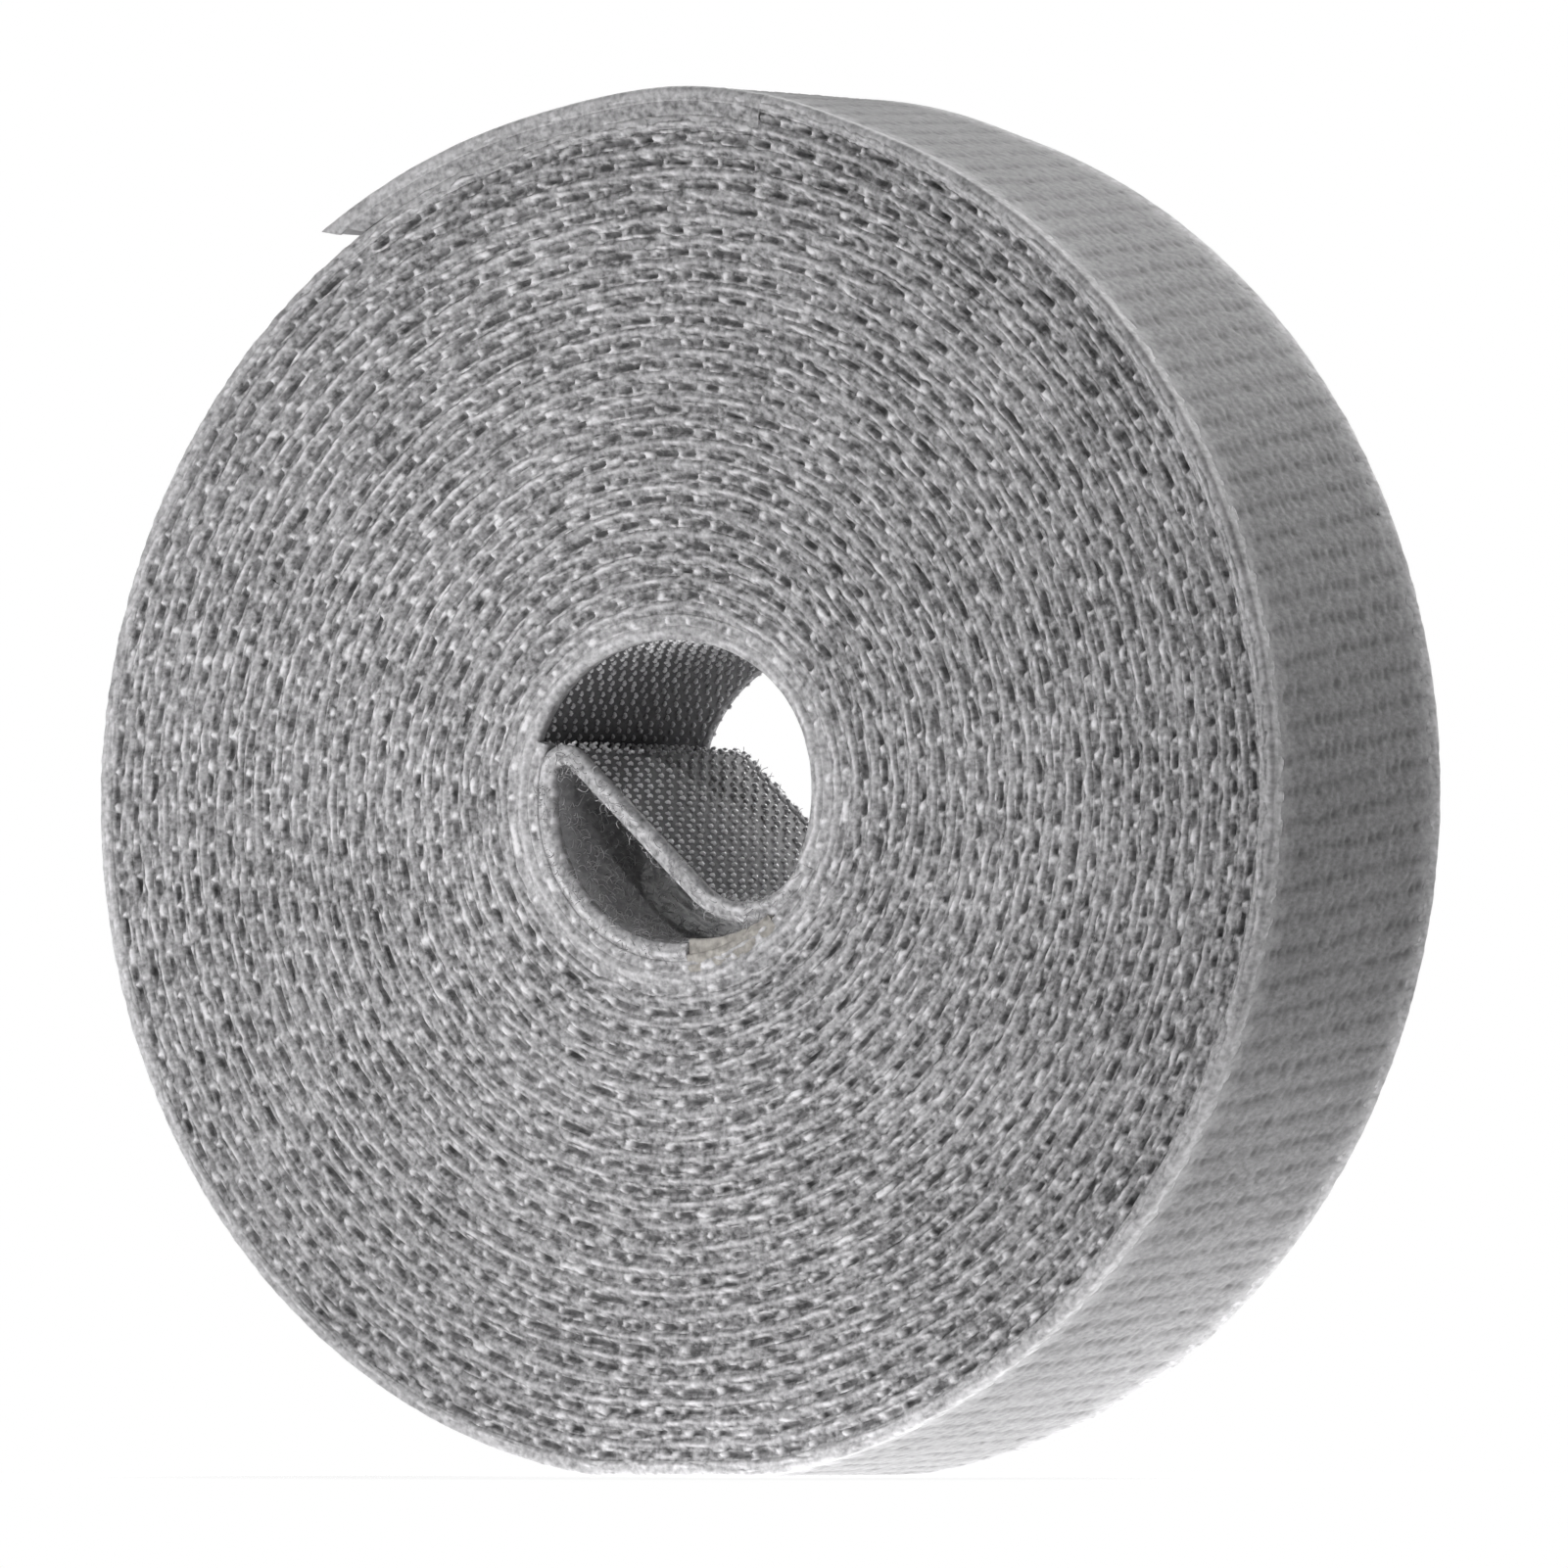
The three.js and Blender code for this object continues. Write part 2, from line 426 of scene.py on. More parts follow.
def tapeLine(given, length=None):
    line = given.make("GeometryNodeMeshToCurve", None, {0: given})
    if length is not None:
        line = given.make("GeometryNodeResampleCurve", {"mode": "LENGTH"}, {0: line, "Length": length})
    return given.make("GeometryNodeSetCurveNormal", {"mode": "FREE"},
                      {0: line, "Normal": named(given, "loopSide", "FLOAT_VECTOR")})


# a cross-section drawn along the tape
def sweptBand(given):
    section = given.make("GeometryNodeObjectInfo", None, {0: given.other("Section")}, "Geometry")
    section = given.make("GeometryNodeMeshToCurve", None, {0: section})
    return given.make("GeometryNodeCurveToMesh", None,
                      {0: tapeLine(given, given.other("Step")), "Profile Curve": section, "Fill Caps": True})


# copies of a small shape on points, each a little turned and of its own size
def setCopies(given, points, stance, tilts, salt):
    lean = given.make("ShaderNodeCombineXYZ", None, dict(enumerate(tilts)))
    lean = given.make("FunctionNodeEulerToRotation", None, {0: lean})
    stance = given.make("FunctionNodeRotateRotation", {"rotation_space": "LOCAL"}, {0: stance, 1: lean})
    size = 1 + given.other("Size Spread") * chance(given, -1, 1, salt)
    size = given.make("ShaderNodeCombineXYZ", None, {0: size, 1: size, 2: size})
    shape = given.make("GeometryNodeObjectInfo", None, {0: given.other("Shape"), "As Instance": True}, "Geometry")
    copies = given.make("GeometryNodeInstanceOnPoints", None,
                        {0: points, "Instance": shape, "Rotation": stance, "Scale": size})
    return kept(given, copies, "tone", chance(given, 0, 1, salt + 1), domain="INSTANCE")


# a plain band of the tape between two places of its thickness
def webTree():
    given = startTree("web", Length="From, To, Half Width, Round")
    low, high = given.other("From"), given.other("To")
    section = given.make("GeometryNodeCurvePrimitiveQuadrilateral", None,
                         {"Width": high - low, "Height": given.other("Half Width") * 2})
    section = given.make("GeometryNodeFilletCurve", {"mode": "POLY"},
                         {0: section, "Count": 2, "Radius": given.other("Round"), "Limit Radius": True})
    middle = given.make("ShaderNodeCombineXYZ", None, {0: (low + high) / 2})
    section = given.make("GeometryNodeTransform", None, {0: section, "Translation": middle})
    band = given.make("GeometryNodeCurveToMesh", None,
                      {0: tapeLine(given), "Profile Curve": section, "Fill Caps": True})
    return endTree(given, band)


# the relief of an edge: a wavy raised line, pits that start behind posts, and wool all over; the pits are kept for a
# painted shade and the posts get a painted highlight
weave = {"woolStretch": 0.4, "driftStretch": 0.16, "clearStretch": 0.3, "clearShare": 1.05, "pitDrift": 1.6,
         "post": 0.1, "postWidth": 0.11, "digs": (0.12, 0.26), "fills": (0.5, 0.95),  # within a pit's pitch
         "calming": 0.65, "specks": (0.3, 0.8)}
# the post tone is a painted highlight on the posts
weaveTone = {"ground": 0.26, "wool": 0.33, "speck": 0.4, "line": 0.35, "post": 0.8, "calm": 0.2}


def reliefTree():
    given = startTree("relief", Float="Facing", Int="Seed", Object="Section",
                      Length="Step, Line Place, Line Width, Line Rise, Wander, Pit Place, Pit Width, "
                             "Pit Pitch, Pit Depth, Post Rise, Wool, Wool Size")
    band = sweptBand(given)
    along, place = named(given, "along"), named(given, "place")
    nap, calm = named(given, "nap"), named(given, "calm")
    size, seed = given.other("Wool Size"), given.other("Seed")
    wool = swing(given, along / size * weave["woolStretch"], place / size, seed, 2.0)
    slow = noiseAt(given, along / size * weave["driftStretch"], seed + 7, 0.3, out="Color")
    slow = given.make("ShaderNodeSeparateXYZ", None, {0: slow})  # three drifts that change slowly
    drift = (slow - 0.5) * 4 * given.other("Wander")
    line = hump(given, place, given.other("Line Place") + drift, given.other("Line Width"))
    line = line * given.make("ShaderNodeClamp", None, {0: slow.other(1) * 4 - 1})
    row = hump(given, place, given.other("Pit Place") + drift * 0.5, given.other("Pit Width"))
    phase = given.math("FRACT", along / given.other("Pit Pitch") + (slow.other(2) - 0.5) * weave["pitDrift"])
    post = row * hump(given, phase, weave["post"], weave["postWidth"])
    dug = ease(given, phase, *weave["digs"]) * (1 - ease(given, phase, *weave["fills"]))
    clear = weave["clearShare"] + swing(given, along / size * weave["clearStretch"], seed + 13, 2.3)
    clear = given.make("ShaderNodeClamp", None, {0: clear})
    pit = row * dug * clear * nap
    rough = 1 - weave["calming"] * calm
    raised = line * given.other("Line Rise") + post * given.other("Post Rise")
    rise = nap * (raised + wool * given.other("Wool") * rough)
    rise = rise - pit * given.other("Pit Depth") * rough
    offset = given.make("ShaderNodeCombineXYZ", None, {1: rise * given.other("Facing")})
    # the pit mask goes to the finish, which paints shade into the pits
    band = kept(given, band, "pit", pit * rough)
    speck = ease(given, wool, *weave["specks"])
    tone = weaveTone["ground"] + (wool * weaveTone["wool"] + speck * weaveTone["speck"]) * rough
    # the posts are painted lighter, a painted highlight where their yarn catches the light
    tone = tone + line * weaveTone["line"] + post * weaveTone["post"] + calm * weaveTone["calm"]
    band = kept(given, band, "tone", tone)
    band = given.make("GeometryNodeSetPosition", None, {0: band, "Offset": offset})
    return endTree(given, band)


# one small shape set in rows along the tape
def rowTree():
    given = startTree("rows", Float="Size Spread, Turn Spread", Int="Rows, Seed", Object="Shape",
                      Length="Spacing, Row Pitch, Pair Shift, First Row, Place, Stagger, "
                             "Along Jitter, Across Jitter, Place Jitter")
    line = given.make("GeometryNodeMeshToCurve", None, {0: given})
    line = given.make("GeometryNodeResampleCurve", {"mode": "LENGTH"}, {0: line, "Length": given.other("Spacing")})
    line = kept(given, line, "heading", given.make("GeometryNodeInputTangent"), "FLOAT_VECTOR")
    points = given.make("GeometryNodeDuplicateElements", {"domain": "POINT"},
                        {0: line, "Amount": given.other("Rows")})
    row = points.other("Duplicate Index")
    heading = named(given, "heading", "FLOAT_VECTOR")
    loopSide = named(given, "loopSide", "FLOAT_VECTOR")
    second = given.math("MODULO", row, 2)  # every other row is set off from the one before
    step = given.other("Stagger") * second + given.other("Along Jitter") * chance(given, -1, 1, 1)
    across = given.other("First Row") + row * given.other("Row Pitch") + second * given.other("Pair Shift")
    across = across + given.other("Across Jitter") * chance(given, -1, 1, 2)
    upward = given.other("Place") + given.other("Place Jitter") * chance(given, -1, 1, 3)
    across = given.make("ShaderNodeCombineXYZ", None, {1: across})
    offset = heading.scaled(step).plus(loopSide.scaled(upward)).plus(across)
    points = given.make("GeometryNodeSetPosition", None, {0: points, "Offset": offset})
    stance = given.make("FunctionNodeAxesToRotation", {"primary_axis": "Z", "secondary_axis": "X"},
                        {0: heading, 1: loopSide})
    tilts = [given.other("Turn Spread") * chance(given, -1, 1, salt) for salt in (4, 5, 6)]
    return endTree(given, setCopies(given, points, stance, tilts, 7))


# the brushed pile: a dense sheet with slanted rows of small pits between the tufts, the pits kept for a painted
# shade and the edges painted lighter as a highlight
tufts = {"rowScale": 1.4, "columnScale": 0.8, "rowDrift": 0.4, "columnDrift": 0.9, "sharpness": 3.5,
         "napStretch": 0.55, "tone": 0.3, "napTone": 0.4}


def pileTree():
    given = startTree("pile", Float="Slant, Pits", Int="Seed", Object="Section",
                      Length="Step, Row Pitch, Pit Pitch, Pit Depth, Nap, Nap Size, Border, Border Fade")
    sheet = sweptBand(given)
    across = given.make("ShaderNodeSeparateXYZ", None, {0: given.make("GeometryNodeInputPosition")}, "Y")
    along = named(given, "along")
    row = (along - across * given.other("Slant")) / given.other("Row Pitch")
    column = across / given.other("Pit Pitch")
    uneven = noiseAt(given, row * tufts["rowScale"], column * tufts["columnScale"], given.other("Seed"), out="Color")
    uneven = given.make("ShaderNodeSeparateXYZ", None, {0: uneven})
    column = column + (uneven - 0.5) * tufts["columnDrift"]
    inRow = 0.5 + 0.5 * given.math("COSINE", (row + (uneven.other(1) - 0.5) * tufts["rowDrift"]) * fullTurn)
    inColumn = 0.5 + 0.5 * given.math("COSINE", column * fullTurn)
    nap = named(given, "nap")
    clear = given.make("ShaderNodeClamp", None, {0: uneven.other(2) * 3 - 0.8})  # some pits are brushed over
    pit = inRow ** tufts["sharpness"] * (0.5 + 0.5 * inColumn) * clear * nap * given.other("Pits")
    size = given.other("Nap Size")
    fluff = swing(given, along / size, across / size * tufts["napStretch"], given.other("Seed") + 3, 2.0)
    # painted highlight: the tone rises towards the pile's edges, over the border fade, where its fibres would catch
    # the light at the corner
    edge = given.other("Border")
    border = ease(given, given.math("ABSOLUTE", across), edge - given.other("Border Fade"), edge)
    height = nap * fluff * given.other("Nap") - pit * given.other("Pit Depth")
    offset = named(given, "loopSide", "FLOAT_VECTOR").scaled(height)
    sheet = kept(given, sheet, "pit", pit)
    sheet = kept(given, sheet, "tone", fluff * tufts["napTone"] + tufts["tone"] + border)
    sheet = given.make("GeometryNodeSetPosition", None, {0: sheet, "Offset": offset})
    return endTree(given, sheet)


# short loops of yarn that stand out of the pile
def fluffTree():
    given = startTree("fluff", Float="Density, Size Spread, Turn Spread", Int="Seed", Object="Shape")
    points = given.make("GeometryNodeDistributePointsOnFaces", {"distribute_method": "RANDOM"},
                        {0: given, "Density": given.other("Density") * named(given, "nap"),
                         "Seed": given.other("Seed")})
    tilts = [given.other("Turn Spread") * chance(given, -1, 1, salt) for salt in (1, 2)]
    tilts.append(chance(given, 0, fullTurn, 3))
    return endTree(given, setCopies(given, points, points.other("Rotation"), tilts, 4))


trees = {
    "web": webTree(),
    "relief": reliefTree(),
    "rows": rowTree(),
    "pile": pileTree(),
    "fluff": fluffTree(),
}
print("trees built")


# strands of round yarn or filament as one closed mesh, each with its own points and radius
def strandMesh(name, strands, sides):
    vertices = []
    faces = []
    for points, radius in strands:
        points = [Vector(p) for p in points]
        first = len(vertices)
        for index, point in enumerate(points):
            ahead = points[min(index + 1, len(points) - 1)]
            behind = points[max(index - 1, 0)]
            heading = (ahead - behind).normalized()
            side = heading.orthogonal() if index == 0 else side - heading * side.dot(heading)
            side = side.normalized()
            over = heading.cross(side)
            for corner in range(sides):
                turn = fullTurn * corner / sides
                vertices.append((point + (side * math.cos(turn) + over * math.sin(turn)) * radius) * mm)
        for index in range(len(points) - 1):
            for corner in range(sides):
                a = first + index * sides + corner
                b = first + index * sides + (corner + 1) % sides
                faces.append((a, b, b + sides, a + sides))
        last = first + (len(points) - 1) * sides
        faces.append(tuple(range(first + sides - 1, first - 1, -1)))
        faces.append(tuple(range(last, last + sides)))
    mesh = bpy.data.meshes.new(name)
    mesh.from_pydata(vertices, [], faces)
    return mesh


helpers = bpy.data.collections.new("helpers")  # shapes and lines that the trees read
bpy.context.scene.collection.children.link(helpers)


def helperObject(name, mesh):
    helper = bpy.data.objects.new(name, mesh)
    helpers.objects.link(helper)
    return helper


# a bent monofilament: a stem off the ground, then a bend that comes back down
hookForm = {"root": 0.06, "stem": 0.08, "bend": 0.1, "bendAngle": 190, "bendSteps": 3, "radius": 0.1, "sides": 4}


def hookShape(name, form):
    points = [(form["root"], 0, 0)]
    for index in range(form["bendSteps"] + 1):
        turn = math.radians(form["bendAngle"] * index / form["bendSteps"])
        points.append((-form["stem"] - form["bend"] * math.sin(turn), 0, form["bend"] * (1 - math.cos(turn))))
    return helperObject(name, strandMesh(name, [(points, form["radius"])], form["sides"]))


# a loose fibre of the brushed yarn: z leaves the pile, the free end leans over
edgeFibre = {"length": 0.42, "lean": 0.4, "bow": 0.16, "radius": 0.018, "root": 0.06, "steps": 4, "sides": 3}
curlFibre = {"length": 0.38, "lean": 0.45, "bow": 0.18, "radius": 0.016, "root": 0.08, "steps": 5, "sides": 3}


def fibreShape(name, form):
    points = []
    for index in range(form["steps"] + 1):
        share = index / form["steps"]
        points.append((form["lean"] * share ** 2, form["bow"] * math.sin(math.pi * share),
                       form["length"] * share * (1.3 - 0.6 * share) - form["root"]))
    return helperObject(name, strandMesh(name, [(points, form["radius"])], form["sides"]))


# a closed cross-section of places across the tape and outwards, with the share of nap at each point
def sectionObject(name, points, places=None):
    mesh = bpy.data.meshes.new(name)
    count = len(points)
    places = places or [p[0] for p in points]
    mesh.from_pydata([(place * mm, outward * mm, 0) for place, outward, nap in points],
                     [(i, (i + 1) % count) for i in range(count)], [])
    mesh.attributes.new("place", "FLOAT", "POINT").data.foreach_set("value", [p * mm for p in places])
    mesh.attributes.new("nap", "FLOAT", "POINT").data.foreach_set("value", [p[2] for p in points])
    return helperObject(name, mesh)


# a dense face with a plain back, whose nap fades towards the edges
def pileSection(name, form):
    points = [(form["from"], -form["halfWidth"], 0)]
    for index in range(form["columns"] + 1):
        across = form["halfWidth"] * (2 * index / form["columns"] - 1)
        edge = (form["halfWidth"] - abs(across)) / form["roundEdge"]
        drop = 1 - math.sqrt(1 - (1 - min(edge, 1)) ** 2)
        points.append((form["to"] - drop * form["roundEdge"], across, 0.25 + 0.75 * smoothStep(edge / 2)))
    points.append((form["from"], form["halfWidth"], 0))
    return sectionObject(name, points)


# a strip along one edge of the tape, with round shoulders
def edgeSection(name, form, facing):
    middle = (form["from"] + form["to"]) / 2
    half = (form["to"] - form["from"]) / 2
    back = facing * (halfWidth - form["depth"])
    points = [(form["from"] + form["taper"], back, 0)]
    for index in range(form["columns"] + 1):
        aside = 2 * index / form["columns"] - 1
        inset = form["inset"] + form["shoulder"] * abs(aside) ** 3
        points.append((middle + half * aside, facing * (halfWidth - inset), 1 - 0.4 * abs(aside) ** 3))
    points.append((form["to"] - form["taper"], back, 0))
    return sectionObject(name, points)


# a strip that turns from the edge over the corner on to the face, with places counted round the corner
def cornerSection(name, form, facing):
    face = halfWidth - form["inset"]
    bend = form["bend"]
    points = [(form["from"], facing * (halfWidth - form["depth"]), 0)]
    places = [form["from"]]
    for index in range(form["columns"] + 1):
        place = form["from"] + (form["to"] - bend - form["from"]) * index / form["columns"]
        points.append((place, facing * face, 1))
        places.append(place)
    for index in range(1, form["bendSteps"] + 1):
        turn = math.pi / 2 * index / form["bendSteps"]
        points.append((form["to"] - bend + bend * math.sin(turn), facing * (face - bend + bend * math.cos(turn)), 1))
        places.append(form["to"] - bend + bend * turn)
    for index in range(1, form["columns"] + 1):
        share = index / form["columns"]
        across = face - bend - form["reach"] * share
        points.append((form["to"] - form["sink"] * share ** 2, facing * across, 1 - share))
        places.append(places[-1] + form["reach"] / form["columns"])
    return sectionObject(name, points, places)


# materials: make adds each node, expressions the sums
def startMaterial(name):
    material = bpy.data.materials.new(name)
    material.use_nodes = True
    material.node_tree.nodes.clear()
    return material, Wire(material.node_tree)


def endMaterial(pen, shader, kind="Material"):
    output = pen.tree.nodes.new("ShaderNodeOutput" + kind)
    pen.tree.links.new(shader.socket, output.inputs["Surface"])


def grey(value, warm=0.0):
    return (value * (1 + warm), value * (1 - 0.012 + 0.4 * warm), value * (1 + 0.012 - warm), 1)


def blended(pen, factor, first, second):
    return pen.make("ShaderNodeMix", {"data_type": "RGBA", "clamp_factor": True},
                    {0: factor, 6: first, 7: second}, 2)  # the colour sockets


def finish(look, name):
    material, pen = startMaterial(name)
    spot = pen.make("ShaderNodeTexCoord", out="Object")
    spot = spot.vector("MULTIPLY", spot, (1, look["acrossScale"], 1))
    tone = pen.make("ShaderNodeAttribute", {"attribute_name": "tone"}, out="Fac")
    pit = pen.make("ShaderNodeAttribute", {"attribute_name": "pit"}, out="Fac")
    fine = pen.make("ShaderNodeTexNoise", None, {"Vector": spot, "Scale": look["fineScale"], "Detail": 2.0})
    broad = pen.make("ShaderNodeTexNoise", None, {"Vector": spot, "Scale": look["broadScale"], "Detail": 1.0})
    mixed = (tone - 0.5) * look["toneShare"] + (fine - 0.5) * look["fineShare"]
    mixed = mixed + (broad - 0.5) * look["broadShare"]
    colour = blended(pen, 0.5 + mixed, grey(look["dark"], look["warm"]), grey(look["light"], look["warm"]))
    # painted shade: where the pit attribute is high, the colour is darkened towards a dark grey, standing in for the
    # shade in the pits
    if look["pitShade"]:
        colour = blended(pen, pit * look["pitShade"], colour, grey(look["pitColour"]))
    bump = pen.make("ShaderNodeBump", None,
                    {"Height": fine, "Strength": look["bump"], "Distance": look["bumpDepth"] * mm})
    shader = pen.make("ShaderNodeBsdfPrincipled", None, {
        "Base Color": colour, "Roughness": look["roughness"], "Normal": bump,
        "Specular IOR Level": look["specular"], "Sheen Weight": look["sheen"], "Sheen Roughness": 0.5})
    endMaterial(pen, shader)
    return material


plainYarn = {
    "dark": 0.09, "light": 0.7, "fineScale": 2800, "fineShare": 1.2, "broadScale": 160, "broadShare": 0.3,
    "toneShare": 1.0, "pitShade": 0.0, "pitColour": 0.1, "bump": 0.5, "bumpDepth": 0.05,
    "roughness": 0.85, "specular": 0.3, "sheen": 0.2, "acrossScale": 0.5, "warm": 0.0,
}
# painted shade: the gap's pits are darkened by colour, the shade between the hook stems
gapWool = dict(plainYarn, dark=0.08, light=0.75, pitShade=0.76, pitColour=0.05)
# painted highlight: the border yarn is paler than the pile, standing in for the sheen of its fibres round the corner
borderYarn = dict(plainYarn, dark=0.15, light=0.6, fineShare=1.6, roughness=0.9, specular=1.0, sheen=0.6)
tuckWool = dict(plainYarn, dark=0.14, light=0.5, warm=0.07)
curlYarn = dict(plainYarn, dark=0.35, light=0.75, bump=0.0, sheen=0.0, fineShare=0.0)
looseFibre = dict(plainYarn, dark=0.24, light=0.5, bump=0.0, sheen=0.0, fineShare=0.0)
# painted shade: pitShade darkens the pile's rows of pits by colour
pileYarn = dict(plainYarn, dark=0.12, light=0.42, fineScale=4200, fineShare=0.9, toneShare=0.6,
                pitShade=0.8, pitColour=0.05, bump=0.35, sheen=0.4)
# the hooks are much paler than the backing: partly the monofilament's own paleness, partly a painted glint and the
# glow of light through the thin filament
hookFilament = dict(plainYarn, dark=0.6, light=0.85, fineShare=0.5, roughness=0.5, specular=0.5, sheen=0.0, bump=0.1)
hookBacking = dict(plainYarn, dark=0.13, light=0.25, fineScale=3800, fineShare=1.0, sheen=0.1)
finishes = {
    "edge": finish(plainYarn, "edgeWool"),
    "gap": finish(gapWool, "gapWool"),
    "border": finish(borderYarn, "borderYarn"),
    "tuck": finish(tuckWool, "tuckWool"),
    "curl": finish(curlYarn, "curlYarn"),
    "fibre": finish(looseFibre, "looseFibre"),
    "pile": finish(pileYarn, "brushedPile"),
    "hook": finish(hookFilament, "hookFilament"),
    "backing": finish(hookBacking, "hookBacking"),
}
print("finishes made")


# grows a tree on a carrier mesh with a form's values, and keeps the result as a plain mesh
def grow(carrier, treeName, form, **more):
    values = dict(form, material=finishes[form["finish"]], **more)
    tree = trees[treeName]
    worker = bpy.data.objects.new("worker", carrier)
    bpy.context.scene.collection.objects.link(worker)
    modifier = worker.modifiers.new(treeName, "NODES")
    modifier.node_group = tree
    for item in tree.interface.items_tree:
        key = item.name[0].lower() + item.name[1:].replace(" ", "")  # Pit Depth takes pitDepth
        if item.in_out == "INPUT" and key in values:
            isLength = item.socket_type == "NodeSocketFloat" and item.subtype == "DISTANCE"
            modifier[item.identifier] = values[key] * mm if isLength else values[key]
    graph = bpy.context.evaluated_depsgraph_get()
    mesh = bpy.data.meshes.new_from_object(worker.evaluated_get(graph), preserve_all_data_layers=True,
                                           depsgraph=graph)
    bpy.data.objects.remove(worker)
    return mesh


def signedVolume(mesh):
    mesh.calc_loop_triangles()
    total = 0.0
    for triangle in mesh.loop_triangles:
        a, b, c = (mesh.vertices[i].co for i in triangle.vertices)
        total += a.dot(b.cross(c))
    return total / 6


# a swept band comes out one way or the other
def growBand(carrier, treeName, form, **more):
    mesh = grow(carrier, treeName, form, **more)
    if signedVolume(mesh) < 0:
        mesh.flip_normals()
    return mesh


def piece(name, meshes):
    joined = meshes[0]
    made = bpy.data.objects.new(name, joined)
    bpy.context.scene.collection.objects.link(made)
    if len(meshes) > 1:
        others = []
        for mesh in meshes[1:]:
            other = bpy.data.objects.new(name + "More", mesh)
            bpy.context.scene.collection.objects.link(other)
            others.append(other)
        with bpy.context.temp_override(active_object=made, object=made, selected_objects=[made] + others,
                                       selected_editable_objects=[made] + others):
            bpy.ops.object.join()
    made.data.name = name
    triangles = sum(len(p.vertices) - 2 for p in made.data.polygons)
    print(name, triangles, "triangles")
    return made


hookObject = hookShape("hook", hookForm)
edgeFibreObject = fibreShape("edgeFibre", edgeFibre)
curlFibreObject = fibreShape("curlFibre", curlFibre)
sides = {"Front": -1, "Back": 1}

seeds = {"edge": 10, "gap": 50, "lip": 70, "tuck": 75, "hooks": 80, "rim": 90, "rimBorder": 91, "endBorder": 92,
         "outerEnd": 120, "tailPile": 150, "innerTail": 160, "fringe": 165, "fluff": 171}

# the two bonded grounds, one band
ground = {"from": 0.15, "to": 0.62, "halfWidth": halfWidth - 0.3, "round": 0.1, "finish": "backing"}

# the tape's edges, and the pile and hooks pressed together in the gaps between the turns
tapeEdge = {"from": 0.02, "to": 1.0, "columns": 8, "inset": 0.06, "shoulder": 0.14, "depth": 0.95, "taper": 0.06,
            "step": 0.25, "linePlace": 0.52, "lineWidth": 0.19, "lineRise": 0.13, "wander": 0.15,
            "pitPlace": 1.17, "pitWidth": 0.21, "pitPitch": 2.1, "pitDepth": 0.0, "postRise": 0.0,
            "wool": 0.2, "woolSize": 0.36, "finish": "edge"}
gapFill = dict(tapeEdge, **{"from": 0.80}, to=1.55, columns=6, inset=0.1, shoulder=0.05, depth=1.5, taper=0.0,
               step=0.22, lineRise=0.0, pitDepth=0.34, postRise=0.16, wool=0.17, finish="gap")
looseEdge = dict(tapeEdge, **{"from": 0.05}, to=1.22, columns=9, inset=0.05, shoulder=0.3, lineRise=0.0, wool=0.14)
endEdge = dict(looseEdge, **{"from": -0.6}, to=0.95, columns=11, shoulder=0.1)  # hangs down to the turn below
noPits = -9  # a place off the strip
# painted highlight: the broad line tone across the whole corner strip paints it lighter round the corner
rimBorder = dict(tapeEdge, **{"from": 0.25}, to=1.13, columns=4, inset=0.03, depth=0.6, bend=0.3, bendSteps=3,
                 reach=1.4, sink=0.12, linePlace=1.2, lineWidth=1.3, lineRise=0.0, pitPlace=noPits, wool=0.16,
                 finish="border")  # the pile's own edge
boreLip = dict(gapFill, **{"from": -0.6}, to=0.1, pitPlace=-0.2)  # between the wall and the tail
boreTuck = dict(gapFill, **{"from": -1.0}, to=0.1, columns=8, inset=0.12, pitDepth=0.0, postRise=0.0, wool=0.12,
                finish="tuck")
tucks = [boreTuck, dict(boreTuck, inset=0.35)]


def bothSides(name, form, makeSection=edgeSection):
    return {side: makeSection(name + side, form, facing) for side, facing in sides.items()}


edgeSections = bothSides("tapeEdge", tapeEdge)
gapSections = bothSides("gapFill", gapFill)
looseSections = bothSides("looseEdge", looseEdge)
endSections = bothSides("endEdge", endEdge)
borderSections = bothSides("rimBorder", rimBorder, cornerSection)
lipSections = bothSides("boreLip", boreLip)


def reliefMesh(path, form, sections, side, seed):
    return growBand(path, "relief", form, section=sections[side], facing=float(sides[side]), seed=seed)


def edgePair(path, form, sections, seed, apart=1):
    return [reliefMesh(path, form, sections, side, seed + apart * facing) for side, facing in sides.items()]


hookField = {"spacing": 0.97, "rows": 32, "rowPitch": -0.61, "pairShift": 0.34, "stagger": 0.485,
             "firstRow": halfWidth - 0.28, "place": 0.15, "alongJitter": 0.04, "acrossJitter": 0.04,
             "placeJitter": 0.02, "sizeSpread": 0.12, "turnSpread": 0.25, "finish": "hook"}


def hookMesh(path, seed):
    return grow(path, "rows", hookField, shape=hookObject, seed=seed)


facePile = {"from": 0.6, "to": 1.1, "halfWidth": halfWidth - 0.4, "columns": 90, "roundEdge": 0.3, "step": 0.25,
            "rowPitch": 1.85, "pitPitch": 0.88, "slant": 0.136, "pits": 1.0, "pitDepth": 0.1, "nap": 0.06,
            "napSize": 0.4, "borderFade": 3, "finish": "pile"}
curledPile = dict(facePile, pits=0.1, nap=0.14, napSize=0.45)  # the tail's pile is ruffled
facePileSection = pileSection("facePileSection", facePile)


def pileMesh(path, form, seed):
    return growBand(path, "pile", form, section=facePileSection, border=form["halfWidth"], seed=seed)


tailFluff = {"density": 5.5e6, "sizeSpread": 0.5, "turnSpread": 0.8, "finish": "curl"}  # per square metre
edgeFringe = {"density": 9e6, "sizeSpread": 0.5, "turnSpread": 0.7, "finish": "fibre"}

